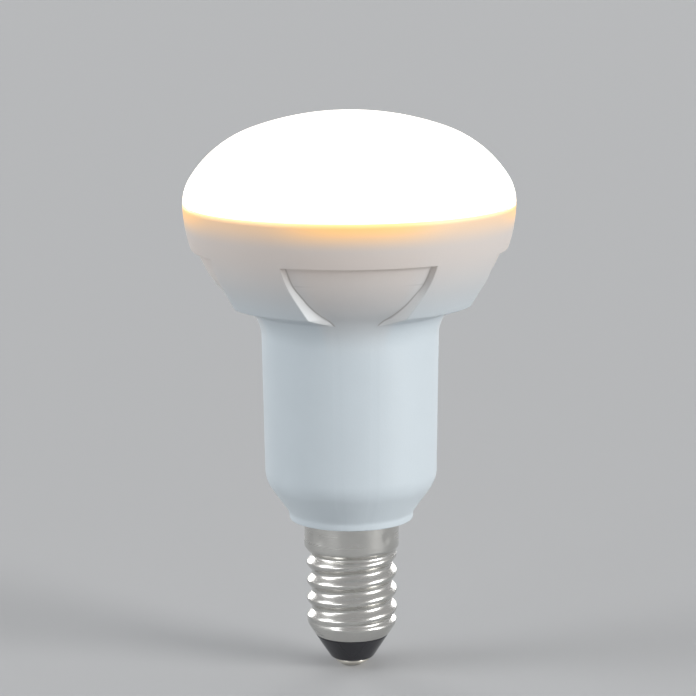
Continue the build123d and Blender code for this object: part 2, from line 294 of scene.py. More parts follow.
class Signal:
    """A node's output, on which Python's operators add Math nodes."""

    def __init__(self, nodes: "Nodes", socket: bpy.types.NodeSocket) -> None:
        """Wraps a socket of a node tree."""
        self.nodes = nodes
        self.socket = socket

    def math(self, operation: str, *values: Any) -> "Signal":
        """Adds a Math node on this signal and further values."""
        inputs = {0: self, **{k + 1: value for k, value in enumerate(values)}}
        return self.nodes.add("ShaderNodeMath", {"operation": operation}, inputs)

    def __add__(self, other: Any) -> "Signal":
        """Adds a value."""
        return self.math("ADD", other)

    __radd__ = __add__

    def __mul__(self, other: Any) -> "Signal":
        """Multiplies by a value."""
        return self.math("MULTIPLY", other)

    __rmul__ = __mul__

    def __sub__(self, other: Any) -> "Signal":
        """Takes a value away."""
        return self.math("SUBTRACT", other)

    def __rsub__(self, other: Any) -> "Signal":
        """Takes this signal away from a value."""
        return self.nodes.add("ShaderNodeMath", {"operation": "SUBTRACT"}, {0: other, 1: self})

    def __truediv__(self, other: Any) -> "Signal":
        """Divides by a value."""
        return self.math("DIVIDE", other)

    def unsigned(self) -> "Signal":
        """Gives the signal without its sign."""
        return self.math("ABSOLUTE")

    def most(self, other: Any) -> "Signal":
        """Gives the greater of this signal and a value."""
        return self.math("MAXIMUM", other)

    def rescale(self, low: float, high: float, to_low: float = 0.0, to_high: float = 1.0) -> "Signal":
        """Maps a range to another, held at its ends and eased between them."""
        inputs = {"Value": self, 1: low, 2: high, 3: to_low, 4: to_high}
        return self.nodes.add("ShaderNodeMapRange", {"interpolation_type": "SMOOTHSTEP"}, inputs)

    def fade(self, reach: float) -> "Signal":
        """Gives 1 at nothing and 0 from a reach on, eased between them."""
        return self.rescale(0.0, reach, 1.0, 0.0)


class Nodes:
    """A node tree, to which nodes are added with their settings and links."""

    def __init__(self, tree: bpy.types.NodeTree) -> None:
        """Keeps the tree."""
        self.tree = tree

    def connect(self, socket: bpy.types.NodeSocket, value: Any) -> None:
        """Links a signal to a socket, or sets the socket to a value.

        Args:
            socket: The input.
            value: A signal, or a number, colour or vector.
        """
        if isinstance(value, Signal):
            self.tree.links.new(value.socket, socket)
        elif isinstance(value, tuple) and len(value) == 3 and socket.type == "RGBA":
            socket.default_value = (*value, 1.0)
        else:
            socket.default_value = value

    def add(
        self, kind: str, settings: dict[str, Any] | None = None, inputs: dict[Any, Any] | None = None,
        output: int | str = 0,
    ) -> Signal:
        """Adds a node.

        Args:
            kind: The node's type.
            settings: Its properties, set before its sockets.
            inputs: Values or signals by the input's name or number.
            output: The output that is returned.

        Returns:
            The chosen output.
        """
        node = self.tree.nodes.new(kind)
        for key, value in (settings or {}).items():
            setattr(node, key, value)
        for key, value in (inputs or {}).items():
            self.connect(node.inputs[key], value)
        return Signal(self, node.outputs[output])

    def mix(self, factor: Any, first: Any, second: Any) -> Signal:
        """Mixes two colours by a factor."""
        return self.add("ShaderNodeMix", {"data_type": "RGBA"}, {0: factor, 6: first, 7: second}, output=2)


class Paint(Nodes):
    """The node tree of one material, with its Principled shader."""

    def __init__(self, name: str) -> None:
        """Makes the material and keeps its tree and shader.

        Args:
            name: The material's name.
        """
        self.material = bpy.data.materials.new(name)
        self.material.use_nodes = True
        super().__init__(self.material.node_tree)
        self.shader = self.tree.nodes["Principled BSDF"]

    def set(self, **values: Any) -> None:
        """Sets or links inputs of the Principled shader, with underscores for the spaces in their names."""
        for key, value in values.items():
            self.connect(self.shader.inputs[key.replace("_", " ")], value)

    def coordinates(self) -> Signal:
        """Gives the object coordinates."""
        return self.add("ShaderNodeTexCoord", output="Object")

    def axis(self, index: int) -> Signal:
        """Gives one of the object coordinates, in metres: 0 for X, 1 for Y, 2 for Z."""
        return self.add("ShaderNodeSeparateXYZ", inputs={0: self.coordinates()}, output=index)

    def noise(self, scale: float, detail: float = 2.0, stretch: Sequence[float] = (1, 1, 1)) -> Signal:
        """Gives a noise of a size on the object.

        Args:
            scale: How many cells it has in a metre.
            detail: How many finer layers it has.
            stretch: Factors on the three coordinates.

        Returns:
            The noise, from 0 to 1.
        """
        where = self.add("ShaderNodeMapping", inputs={"Vector": self.coordinates(), "Scale": tuple(stretch)})
        return self.add("ShaderNodeTexNoise", inputs={"Vector": where, "Scale": scale, "Detail": detail})

    def bump(self, height: Signal, depth: float) -> None:
        """Feeds a height to the shader's normal, with its full depth in metres."""
        inputs = {"Height": height, "Distance": depth, "Strength": 1.0}
        self.set(Normal=self.add("ShaderNodeBump", inputs=inputs))


# Finishes, with lengths in metres


def shade(colour: Colour, factor: float) -> Colour:
    """Makes a colour lighter or darker."""
    return tuple(channel * factor for channel in colour)


@dataclass(frozen=True)
class Finish:
    """A finish of the lamp, with the name of its material slot and its main colour."""

    name: str
    colour: Colour

    def paint(self) -> Paint:
        """Makes the finish's material and returns its nodes, which each kind of finish adds to."""
        return Paint(self.name)


@dataclass(frozen=True)
class Plastic(Finish):
    """A moulded plastic, coating or ceramic with a fine grain."""

    roughness: float
    mottle: float = 0.04
    grain: float = 3500.0
    depth: float = 0.00001
    cloud: float = 220.0
    gloss_spread: float = 0.12

    def paint(self) -> Paint:
        """Builds the nodes: faint mottling, uneven gloss and a moulded grain.

        Returns:
            The material's nodes.
        """
        paint = super().paint()
        cloud = paint.noise(self.cloud, CLOUD_DETAIL)
        grain = paint.noise(self.grain)
        dullness = self.roughness - self.gloss_spread / 2 + cloud * self.gloss_spread
        paint.set(Base_Color=self.skin(paint, cloud), Roughness=dullness)
        paint.bump(grain, self.depth)
        return paint

    def skin(self, paint: Paint, cloud: Signal) -> Signal:
        """Gives the colour, mottled by a cloudy noise."""
        return paint.mix(cloud, shade(self.colour, 1 - self.mottle), shade(self.colour, 1 + self.mottle))


@dataclass(frozen=True)
class FlankPlace:
    """Where the flanks of the housing's ribs lean out below the band, which get painted light, with a painted
    shadow line in the crease and the fold beside them.

    A rib's edge lies half_width from the rib's middle plane, and further by widening at the corner. From
    lean_top down, the flank's foot moves out from there by lean. The crease lies beside that foot, and the
    fold runs from it along the foot of the band.
    """

    half_width: float
    widening: float
    ledge: float
    corner: float
    foot: float
    lean: float
    lean_top: float
    lean_length: float
    band_bottom: float
    softness: float = 0.00015
    crease_offset: float = 0.0002
    crease_width: float = 0.0002
    fold_reach: float = 0.004
    fold_share: float = 0.4

    def masks(self, paint: Paint) -> tuple[Signal, Signal]:
        """Finds the flanks by the distance to the nearest rib's middle plane.

        Args:
            paint: The material's nodes.

        Returns:
            A signal that is 1 on the leaning flanks, where light is painted, and one that is 1 in the crease
            between flank and floor and less in the fold at the foot of the band, which fades away from the
            flanks, where a shadow line is painted.
        """
        x, y, z = (paint.axis(index) for index in range(3))
        across = (x.unsigned() - y.unsigned()).unsigned() * math.sqrt(0.5)
        lowered = ((self.ledge - z) / (self.ledge - self.corner)).math("MINIMUM", 1.0)
        beyond = across - self.half_width - lowered * lowered * self.widening
        leaning = (self.lean_top - z).rescale(0.0, self.lean_length)
        past_edge = beyond.rescale(-self.softness / 2, self.softness / 2)
        from_crease = beyond - leaning * self.lean
        above_foot = (z - self.foot).rescale(0.0, self.softness * 2)
        flank = past_edge * from_crease.fade(self.softness) * above_foot * leaning
        below_ledge = (self.ledge - z).rescale(0.0, self.softness)
        crease = (from_crease - self.crease_offset).unsigned().fade(self.crease_width)
        fold = (z - self.band_bottom).unsigned().fade(self.crease_width) * self.fold_share
        beside = from_crease.rescale(0.0, self.softness) * from_crease.fade(self.fold_reach)
        return flank, (crease * above_foot * below_ledge).most(fold * beside)


@dataclass(frozen=True, kw_only=True)
class WarmRimPlastic(Plastic):
    """The housing's white plastic, with painted warm light and a painted glow from the rim down over the head,
    standing for the light inside that leaks through.

    The head's painted warm light fades out over head_reach below the seam, and lower in the windows by
    window_reach. The rim's painted warm light and painted glow fade out over rim_reach, with only rib_share of
    them on the ribs, and the edge's painted glow over edge_reach.
    """

    seam: float
    flanks: FlankPlace
    # painted light: the leaning flanks get a lighter colour, as if lit from below
    flank_painted_light: Colour = (0.79, 0.83, 0.85)
    # painted shade: a dark shadow line in the crease at the flanks' foot and, fainter, along the band's foot
    crease_painted_shade: Colour = (0.38, 0.38, 0.38)
    # painted warm light and painted glow of the head, rim and edge, for the lamp's light leaking through the
    # plastic
    head_reach: tuple[float, float] = (0.003, 0.017)
    window_side: tuple[float, float] = (-0.3, 0.4)
    window_reach: float = 0.25
    head_painted_warm_light: Colour = (0.565, 0.53, 0.51)
    unlit: Colour = (0.0, 0.0, 0.0)
    head_painted_glow: Colour = (0.05, 0.025, 0.008)
    rim_reach: float = 0.0042
    rib_share: float = 0.45
    rim_painted_warm_light: Colour = (0.62, 0.44, 0.24)
    glow: Colour = (0.58, 0.25, 0.015)
    edge_reach: float = 0.0007
    edge_glow: Colour = (0.95, 0.53, 0.17)

    def skin(self, paint: Paint, cloud: Signal) -> Signal:
        """Gives the colour, with painted warm light towards the rim, and adds a painted glow for the light
        that leaks through there.

        Args:
            paint: The material's nodes.
            cloud: The noise that mottles the white.

        Returns:
            The colour.
        """
        drop = self.seam - paint.axis(2)
        lobes = self.lobes(paint)
        lifted = drop * lobes.rescale(*self.window_side) * self.window_reach
        head = (drop - lifted).rescale(*self.head_reach, 1.0, 0.0)
        rim = drop.fade(self.rim_reach) * lobes.rescale(-1.0, 1.0, self.rib_share, 1.0)
        edge = drop.fade(self.edge_reach)
        # painted glow: emission on the housing for the light that leaks through from the lamp
        leak = paint.mix(rim, paint.mix(head, self.unlit, self.head_painted_glow), self.glow)
        paint.set(Emission_Color=paint.mix(edge, leak, self.edge_glow), Emission_Strength=1.0)
        flank, crease = self.flanks.masks(paint)
        # painted light: a lighter colour on the leaning flanks
        white = paint.mix(flank, super().skin(paint, cloud), self.flank_painted_light)
        # painted warm light on the head, and painted shade in the crease and the fold
        warmed = paint.mix(crease, paint.mix(head, white, self.head_painted_warm_light), self.crease_painted_shade)
        # painted warm light at the rim
        return paint.mix(rim, warmed, self.rim_painted_warm_light)

    def lobes(self, paint: Paint) -> Signal:
        """Gives a wave round the axis, the cosine of four times the angle.

        Args:
            paint: The material's nodes.

        Returns:
            A signal that is 1 on the middle of each window and -1 on that of each rib.
        """
        x, y = paint.axis(0), paint.axis(1)
        cross = x * y / (x * x + y * y)
        return 1.0 - cross * cross * 8.0


@dataclass(frozen=True)
class OpalGlow(Finish):
    """The opal dome, lit from inside: white over the chips, warm towards the rim."""

    seam: float
    core_light: Colour = (1.0, 0.95, 0.86)
    rim_light: Colour = (1.0, 0.74, 0.38)
    warm_height: float = 0.0022
    strength: float = 1.0
    roughness: float = 0.3
    gloss_spread: float = 0.12
    grain: float = 2600.0
    depth: float = 0.000006

    def paint(self) -> Paint:
        """Builds the nodes: light that fades and warms to the rim, under a satin skin.

        Returns:
            The material's nodes.
        """
        paint = super().paint()
        rise = paint.axis(2) - self.seam
        lit = rise.rescale(0.0, self.warm_height)
        grain = paint.noise(self.grain)
        paint.set(
            Base_Color=self.colour,
            Roughness=self.roughness + grain * self.gloss_spread,
            Emission_Color=paint.mix(lit, self.rim_light, self.core_light),
            Emission_Strength=self.strength,
        )
        paint.bump(grain, self.depth)
        return paint


class Grain(Enum):
    """How a metal's surface was worked, as streaks in a metre along X, Y and Z."""

    TURNED = (40.0, 40.0, 2600.0)
    DULL = (1800.0, 1800.0, 1800.0)


@dataclass(frozen=True)
class Metal(Finish):
    """A bare or plated metal."""

    roughness: float
    grain: Grain
    depth: float = 0.000004
    tarnish: float = 160.0
    bright: float = 1.05
    dark: float = 0.84
    streak_spread: float = 0.1
    tarnish_spread: float = 0.06

    def paint(self) -> Paint:
        """Builds the nodes: streaks in the working direction and faint tarnish.

        Returns:
            The material's nodes.
        """
        paint = super().paint()
        streak = paint.noise(1.0, CLOUD_DETAIL, self.grain.value)
        tarnish = paint.noise(self.tarnish, CLOUD_DETAIL)
        polish = self.roughness - (self.streak_spread + self.tarnish_spread) / 2
        paint.set(
            Base_Color=paint.mix(tarnish, shade(self.colour, self.dark), shade(self.colour, self.bright)),
            Metallic=1.0,
            Roughness=polish + streak * self.streak_spread + tarnish * self.tarnish_spread,
        )
        paint.bump(streak, self.depth)
        return paint


@dataclass(frozen=True)
class WoundCopper(Finish):
    """Layers of enamelled wire, seen as fine level turns."""

    wire: float = 0.00025
    # painted shade: how dark the colour gets in the valleys between turns
    valley_shade: float = 0.45
    roughness: float = 0.32
    gloss_spread: float = 0.12
    cloud: float = 900.0

    def paint(self) -> Paint:
        """Builds the nodes: a rounded ridge for each turn of wire, with painted shade in the valleys between
        the turns.

        Returns:
            The material's nodes.
        """
        paint = super().paint()
        turn = (paint.axis(2) * (math.tau / self.wire)).math("SINE")
        ridge = turn * 0.5 + 0.5
        paint.set(
            # painted shade: darker colour in the valleys between the turns
            Base_Color=paint.mix(ridge, shade(self.colour, self.valley_shade), self.colour),
            Metallic=1.0,
            Roughness=self.roughness + paint.noise(self.cloud) * self.gloss_spread,
        )
        paint.bump(ridge, self.wire / 4)
        return paint


def dress(piece: Piece, finish: Finish) -> None:
    """Gives a piece the material of a finish in place of those that it has."""
    piece.data.materials.clear()
    piece.data.materials.append(finish.paint().material)


def adopt(piece: Piece, node: str, finish: Finish) -> Piece:
    """Lets a new piece stand for a node and ride on the lamp's body, and dresses it.

    Args:
        piece: The new piece.
        node: The node that it replaces.
        finish: Its finish, named as the material slot of the record.

    Returns:
        The piece.
    """
    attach(piece, BODY)
    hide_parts(node)
    dress(piece, finish)
    return piece


# The lamp, with lengths in millimetres and slopes in degrees

HOUSING_LOW, HOUSING_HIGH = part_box("housing")
DOME_LOW, DOME_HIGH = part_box("diffuser_dome")
SHELL_LOW, SHELL_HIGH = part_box("cap_shell")
INSULATOR_LOW, INSULATOR_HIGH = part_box("cap_insulator")
CONTACT_LOW, CONTACT_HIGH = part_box("centre_contact")
SEAM = HOUSING_HIGH.z / MM
HEAD_RADIUS = HOUSING_HIGH.x / MM


class SubAssembly:
    """A group of the lamp's pieces that are built and dressed together."""

    def build(self) -> list[Piece]:
        """Builds and dresses the pieces and returns them."""
        raise NotImplementedError


@dataclass
class Diffuser(SubAssembly):
    """The opal dome: three tangent arcs outside and inside, with a skirt that goes into the housing's rim."""

    side_radius: float = 17.7
    crown_slope: float = 20.0
    side_slope: float = 58.0
    edge_start: float = 2.0
    wall: float = 1.3
    skirt_radius: float = 23.4
    skirt_wall: float = 1.2
    rim_rounding: float = 0.22
    columns: int = 192
    arc_steps: tuple[int, int, int] = (14, 18, 12)
    colour: Colour = (0.94, 0.93, 0.9)

    def arcs(self, rim: float, height: float, side_radius: float, start: float = 0.0) -> list[Point]:
        """Gives a dome's section from its rim up to just short of the axis.

        Args:
            rim: The radius at the rim, where the section stands upright.
            height: The rise from the rim to the top.
            side_radius: The middle arc's radius.
            start: Where on the edge arc the section starts, in degrees above the rim.

        Returns:
            The points, without the last one on the axis.
        """
        crown, side = math.radians(self.crown_slope), math.radians(self.side_slope)
        # The middle arc leaves a width and a height, which give the radii of the two other arcs
        radius_left = rim - side_radius * (math.sin(side) - math.sin(crown))
        height_left = height - side_radius * (math.cos(crown) - math.cos(side))
        edge_share, crown_share = 1 - math.sin(side), 1 - math.cos(crown)
        scale = math.sin(crown) * math.cos(side) - edge_share * crown_share
        crown_radius = (radius_left * math.cos(side) - height_left * edge_share) / scale
        edge_radius = (height_left * math.sin(crown) - radius_left * crown_share) / scale
        crown_height = SEAM + height - crown_radius
        shift = crown_radius - side_radius
        side_centre = (shift * math.sin(crown), crown_height + shift * math.cos(crown))
        edge_end, side_end = 90 - self.side_slope, 90 - self.crown_slope
        edge_steps, side_steps, crown_steps = self.arc_steps
        points = arc((rim - edge_radius, SEAM), edge_radius, start, edge_end, edge_steps)
        points += arc(side_centre, side_radius, edge_end, side_end, side_steps)[1:]
        points += arc((0, crown_height), crown_radius, side_end, 90, crown_steps)[1:-1]
        return points

    def build(self) -> list[Piece]:
        """Turns the dome, outside and inside, and dresses it.

        Returns:
            The dome alone.
        """
        height, skirt_low = DOME_HIGH.z / MM - SEAM, DOME_LOW.z / MM
        skirt_bore = self.skirt_radius - self.skirt_wall
        start, rim = (HEAD_RADIUS - self.rim_rounding, SEAM), (HEAD_RADIUS, SEAM)
        outside = self.arcs(HEAD_RADIUS, height, self.side_radius, self.edge_start)
        lathe = Lathe.start("diffuser_dome_skin", start, self.columns)
        lathe.follow(rounded_section(start, rim, outside[0], self.rim_rounding))
        lathe.follow(outside)
        lathe.pole()
        lathe.open_rings(start)
        lathe.follow([(self.skirt_radius, SEAM), (self.skirt_radius, skirt_low), (skirt_bore, skirt_low)])
        lathe.follow(self.arcs(skirt_bore, height - self.wall, self.side_radius - self.wall))
        lathe.pole()
        finish = OpalGlow("opal_diffuser", self.colour, seam=SEAM * MM)
        return [adopt(lathe.finish(), "diffuser_dome", finish)]


@dataclass
class Row:
    """One row of the housing's skin: its place on a window's middle and on a rib's middle."""

    window: Point
    rib: Point


@dataclass
class Housing(SubAssembly):
    """The moulded housing: ribbed head with window recesses, neck, shoulder, cone, collar and spigot."""

    # Head and ribs
    side_arc_radius: float = 20.0
    side_slope: float = 35.0
    head_depth: float = 15.0
    underside_slope: float = 18.0
    rib_count: int = 4
    rib_width: float = 13.7
    rib_widening: float = 0.5
    flank_draft: float = 0.06
    flank_spread: float = 0.45
    spread_start: float = 0.6
    spread_length: float = 3.0
    crest_share: float = 0.5
    foot_share: float = 0.6
    # Windows
    window_top: float = 6.7
    window_step: float = 0.75
    band_height: float = 2.8
    band_draft: float = 1.35
    floor_arc_radius: float = 16.0
    floor_depth: float = 16.5
    # Neck, shoulder, cone and collar
    neck_top_radius: float = 13.46
    neck_bottom_radius: float = 13.06
    flare_radius: float = 6.0
    shoulder_radius: float = 5.0
    cone_top: float = 6.1
    collar_radius: float = 9.45
    collar_height: float = 1.1
    # Rounded edges and creases
    rim_rounding: float = 0.22
    ledge_rounding: float = 0.14
    ledge_fillet: float = 0.16
    crease_rounding: float = 0.12
    crease_fade: float = 3.0
    flank_rounding: float = 0.14
    flank_rounding_share: float = 0.45
    rib_rounding: float = 0.14
    foot_rounding: float = 0.05
    collar_rounding: float = 0.2
    # Inside and spigot
    wall: float = 1.6
    bottom_thickness: float = 2.0
    rim_wall: float = 1.5
    rebate_depth: float = 2.7
    cup_bore_step: float = 1.2
    cup_seat_depth: float = 5.7
    cavity_flare_rise: float = 1.3
    spigot_upper_radius: float = 6.82
    spigot_upper_length: float = 4.25
    spigot_lower_radius: float = 5.695
    spigot_wall: float = 1.0
    # Columns and rows of the skin
    window_columns: int = 12
    rounding_columns: int = 4
    rib_columns: int = 10
    side_rows: int = 10
    lower_rows: tuple[int, ...] = (4, 8, 16, 12, 18, 12, 8, 18, 8, 2)
    band_margin: float = 0.25
    corner_margins: tuple[float, float] = (0.5, 0.2)
    foot_margin: float = 0.6
    collar_margins: tuple[float, float] = (1.2, 0.3)
    edge_margin: float = 0.1
    # Finish
    colour: Colour = (0.545, 0.603, 0.642)

    def __post_init__(self) -> None:
        """Works out the places that follow from the sizes."""
        self.side_centre = HEAD_RADIUS - self.side_arc_radius
        self.ledge = SEAM - self.window_top
        self.band_bottom = self.ledge - self.band_height
        self.corner = SEAM - self.head_depth
        self.foot = SEAM - self.floor_depth
        self.floor_top_radius = self.head_radius_at(self.ledge) - self.window_step
        self.floor_band_radius = self.floor_top_radius - self.band_draft
        self.floor_centre = self.arc_centre()
        neck_length, cone_length = self.foot - self.cone_top, self.cone_top - self.collar_height
        self.neck_slope = (self.neck_top_radius - self.neck_bottom_radius) / neck_length
        self.cone_slope = (self.neck_bottom_radius - self.collar_radius) / cone_length
        self.flare_centre = self.flare_circle()
        self.shoulder_centre = self.shoulder_circle()

    def head_radius_at(self, height: float) -> float:
        """Gives the radius of the head's side: round from the rim, then straight.

        Args:
            height: The height.

        Returns:
            The radius there.
        """
        slope = math.radians(self.side_slope)
        drop = min(SEAM - height, self.side_arc_radius * math.sin(slope))
        straight = SEAM - height - drop
        return self.side_centre + math.sqrt(self.side_arc_radius**2 - drop**2) - straight * math.tan(slope)

    def arc_centre(self) -> Vector:
        """Places the window floor's arc, from the band's foot to the neck's top.

        Returns:
            The arc's centre.
        """
        top = Vector((self.floor_band_radius, self.band_bottom))
        foot = Vector((self.neck_top_radius, self.foot))
        chord = foot - top
        inward = Vector((chord.y, -chord.x)).normalized()
        return (top + foot) / 2 + inward * math.sqrt(self.floor_arc_radius**2 - chord.length_squared / 4)

    def neck_radius_at(self, height: float) -> float:
        """Gives the radius of the neck's drafted side at a height."""
        return self.neck_bottom_radius + (height - self.cone_top) * self.neck_slope

    def flare_circle(self) -> Vector:
        """Places the flare's circle, which touches the neck's side and the window floor's arc.

        Returns:
            The circle's centre.
        """
        reach = self.floor_arc_radius + self.flare_radius
        offset = self.flare_radius * math.hypot(1, self.neck_slope)
        height = self.foot
        for _ in range(SETTLING_ROUNDS):
            radius = self.neck_radius_at(height) + offset
            height = self.floor_centre.y - math.sqrt(reach**2 - (radius - self.floor_centre.x) ** 2)
        return Vector((radius, height))

    def shoulder_circle(self) -> Vector:
        """Places the shoulder's circle, which touches the neck's side and the cone from inside.

        Returns:
            The circle's centre.
        """
        neck_shift = self.shoulder_radius * math.hypot(1, self.neck_slope)
        cone_shift = self.shoulder_radius * math.hypot(1, self.cone_slope)
        rise = (cone_shift - neck_shift) / (self.cone_slope - self.neck_slope)
        height = self.cone_top + rise
        return Vector((self.neck_radius_at(height) - neck_shift, height))

    def core_radius_at(self, height: float) -> float:
        """Gives the radius of the housing between the ribs, from the window's floor down to the collar.

        Args:
            height: The height, below the ledge.

        Returns:
            The radius there.
        """
        flare, shoulder, floor = self.flare_centre, self.shoulder_centre, self.floor_centre
        flare_top = flare.y + (floor.y - flare.y) * self.flare_radius / (floor - flare).length
        flare_low = flare.y + self.flare_radius * self.neck_slope
        shoulder_top = shoulder.y - self.shoulder_radius * self.neck_slope
        shoulder_low = shoulder.y - self.shoulder_radius * math.sin(math.atan(self.cone_slope))
        if height >= flare_top:
            band = self.floor_band_radius + (height - self.band_bottom) * self.band_draft / self.band_height
            bowl = floor.x + math.sqrt(self.floor_arc_radius**2 - (height - floor.y) ** 2)
            width = self.crease_rounding * min(1.0, (height - flare_top) / self.crease_fade)
            return soft_least(band, bowl, width)
        if height >= flare_low:
            return flare.x - math.sqrt(self.flare_radius**2 - (height - flare.y) ** 2)
        if height >= shoulder_top:
            return self.neck_radius_at(height)
        if height >= shoulder_low:
            return shoulder.x + math.sqrt(self.shoulder_radius**2 - (height - shoulder.y) ** 2)
        cone = self.collar_radius + (height - self.collar_height) * self.cone_slope
        return soft_most(cone, self.collar_radius, self.collar_rounding)

    def rib_radius_at(self, height: float) -> float:
        """Gives the radius of the housing at the ribs: the head's side, its underside, then the core.

        Args:
            height: The height, below the ledge.

        Returns:
            The radius there.
        """
        corner_radius = self.head_radius_at(self.corner)
        slope = math.tan(math.radians(self.underside_slope))
        underside = corner_radius - (self.corner - height) / slope
        side = self.head_radius_at(max(height, self.corner - self.rib_rounding))
        rib = soft_least(side, underside, self.rib_rounding)
        return soft_most(self.core_radius_at(height), rib, self.foot_rounding)

    def rows(self) -> list[Row]:
        """Lays out the rows of the skin.

        Returns:
            The rows, from the rim's top edge down to the collar's lower edge.
        """
        start, rim = (HEAD_RADIUS - self.rim_rounding, SEAM), (HEAD_RADIUS, SEAM)
        below_rim = (HEAD_RADIUS, SEAM - self.rim_rounding)
        both = rounded_section(start, rim, below_rim, self.rim_rounding)
        above_ledge = self.ledge + self.ledge_rounding
        for height in spread(below_rim[1], above_ledge, self.side_rows)[1:]:
            both.append((self.head_radius_at(height), height))
        rows = [Row(point, point) for point in both]
        ledge_edge = (self.head_radius_at(self.ledge), self.ledge)
        ledge_inner = (self.floor_top_radius, self.ledge)
        below_ledge = self.ledge - self.ledge_fillet
        band = (self.core_radius_at(below_ledge), below_ledge)
        window = rounded_section(both[-1], ledge_edge, ledge_inner, self.ledge_rounding)[1:]
        window += rounded_section(ledge_edge, ledge_inner, band, self.ledge_fillet)
        heights = spread(above_ledge, below_ledge, len(window))[1:]
        for point, height in zip(window, heights):
            rows.append(Row(point, (self.head_radius_at(height), height)))
        for height in self.lower_heights(below_ledge):
            rows.append(Row((self.core_radius_at(height), height), (self.rib_radius_at(height), height)))
        edge = (self.collar_radius, 0)
        above, inner = (self.collar_radius, self.collar_height), (0, 0)
        for point in rounded_section(above, edge, inner, self.collar_rounding):
            rows.append(Row(point, point))
        return rows

    def lower_heights(self, top: float) -> list[float]:
        """Spaces the rows below the ledge, closer where the surface turns.

        Args:
            top: The height below the ledge that they start from.

        Returns:
            The heights, without the top, down to above the collar's lower edge.
        """
        stops = [
            top,
            self.band_bottom + self.band_margin,
            self.band_bottom - self.band_margin,
            self.corner + self.corner_margins[0],
            self.corner - self.corner_margins[1],
            self.foot - self.foot_margin,
            self.flare_centre.y,
            self.shoulder_centre.y,
            self.collar_height + self.collar_margins[0],
            self.collar_height - self.collar_margins[1],
            self.collar_rounding + self.edge_margin,
        ]
        heights = []
        for high, low, steps in zip(stops, stops[1:], self.lower_rows):
            heights += spread(high, low, steps)[1:]
        return heights

    def half_section(self, row: Row) -> list[Vector]:
        """Gives a row's places from a window's middle to the next rib's middle.

        Args:
            row: The row.

        Returns:
            The places, with the window's middle towards -Y and the rib 45 degrees on.
        """
        middle = math.pi / self.rib_count
        floor_radius, floor_height = row.window
        rib_radius, rib_height = row.rib
        lowered = min(1.0, max(0.0, self.ledge - rib_height) / (self.ledge - self.corner))
        half_width = self.rib_width / 2 + self.rib_widening * lowered**2
        foot_width = half_width + self.flank_draft * (rib_radius - floor_radius) + self.spread_at(rib_height)
        floor_edge = middle - math.asin(min(self.foot_share, foot_width / floor_radius))
        rib_edge = middle - math.asin(min(self.crest_share, half_width / rib_radius))
        floor_start = floor_edge - self.flank_rounding / floor_radius
        rib_start = rib_edge + self.flank_rounding / rib_radius
        foot = self.polar(floor_radius, floor_edge, floor_height)
        crest = self.polar(rib_radius, rib_edge, rib_height)
        reach = min(self.flank_rounding, (crest - foot).length * self.flank_rounding_share)
        places = []
        for angle in spread(0, floor_start, self.window_columns):
            places.append(self.polar(floor_radius, angle, floor_height))
        places += rounded(places[-1], foot, towards(foot, crest, reach), self.rounding_columns)[1:]
        rib_place = self.polar(rib_radius, rib_start, rib_height)
        places += rounded(towards(crest, foot, reach), crest, rib_place, self.rounding_columns)
        for angle in spread(rib_start, middle, self.rib_columns)[1:]:
            places.append(self.polar(rib_radius, angle, rib_height))
        return places

    def spread_at(self, height: float) -> float:
        """Gives how far a rib's flank leans out at a height: upright in the band, leaning below it."""
        return self.flank_spread * ease((self.band_bottom + self.spread_start - height) / self.spread_length)

    def polar(self, radius: float, angle: float, height: float) -> Vector:
        """Gives a place from its radius, its angle from -Y towards +X and its height."""
        return Vector((radius * math.sin(angle), -radius * math.cos(angle), height))

    def cavity(self) -> list[Point]:
        """Lays out the inside.

        Returns:
            The section from the collar's underside round the spigot and up inside to the rim's bore.
        """
        bore, spigot_low = self.spigot_lower_radius - self.spigot_wall, HOUSING_LOW.z / MM
        neck_low, neck_top = self.neck_bottom_radius - self.wall, self.neck_top_radius - self.wall
        cone_top = self.cone_top + self.wall * math.tan(math.atan(self.cone_slope) / 2)
        floor_radius = neck_low - self.cone_slope * (cone_top - self.bottom_thickness)
        band_top, band_low = self.floor_top_radius - self.wall, self.floor_band_radius - self.wall
        cup_seat, rebate = SEAM - self.cup_seat_depth, SEAM - self.rebate_depth
        rim_bore = HEAD_RADIUS - self.rim_wall
        cup_bore = rim_bore - self.cup_bore_step
        return [
            (self.spigot_upper_radius, 0),
            (self.spigot_upper_radius, -self.spigot_upper_length),
            (self.spigot_lower_radius, -self.spigot_upper_length),
            (self.spigot_lower_radius, spigot_low),
            (bore, spigot_low),
            (bore, self.bottom_thickness),
            (floor_radius, self.bottom_thickness),
            (neck_low, cone_top),
            (neck_top, self.foot + self.cavity_flare_rise),
            (band_low, self.band_bottom),
            (band_top, self.ledge),
            (band_top, cup_seat),
            (cup_bore, cup_seat),
            (cup_bore, rebate),
            (rim_bore, rebate),
            (rim_bore, SEAM),
        ]

    def line_inside(self, piece: Piece) -> None:
        """Extrudes the collar's lower edge round the spigot and up the cavity, and bridges it to the rim.

        Args:
            piece: The skin, in edit mode.
        """
        lathe = Lathe(piece, (self.collar_radius - self.collar_rounding, 0))
        lathe.open_rings(lathe.at)
        self.keep_lower_ring(piece)
        lathe.follow(self.cavity())
        lathe.open_rings(lathe.at)
        bpy.ops.mesh.bridge_edge_loops()

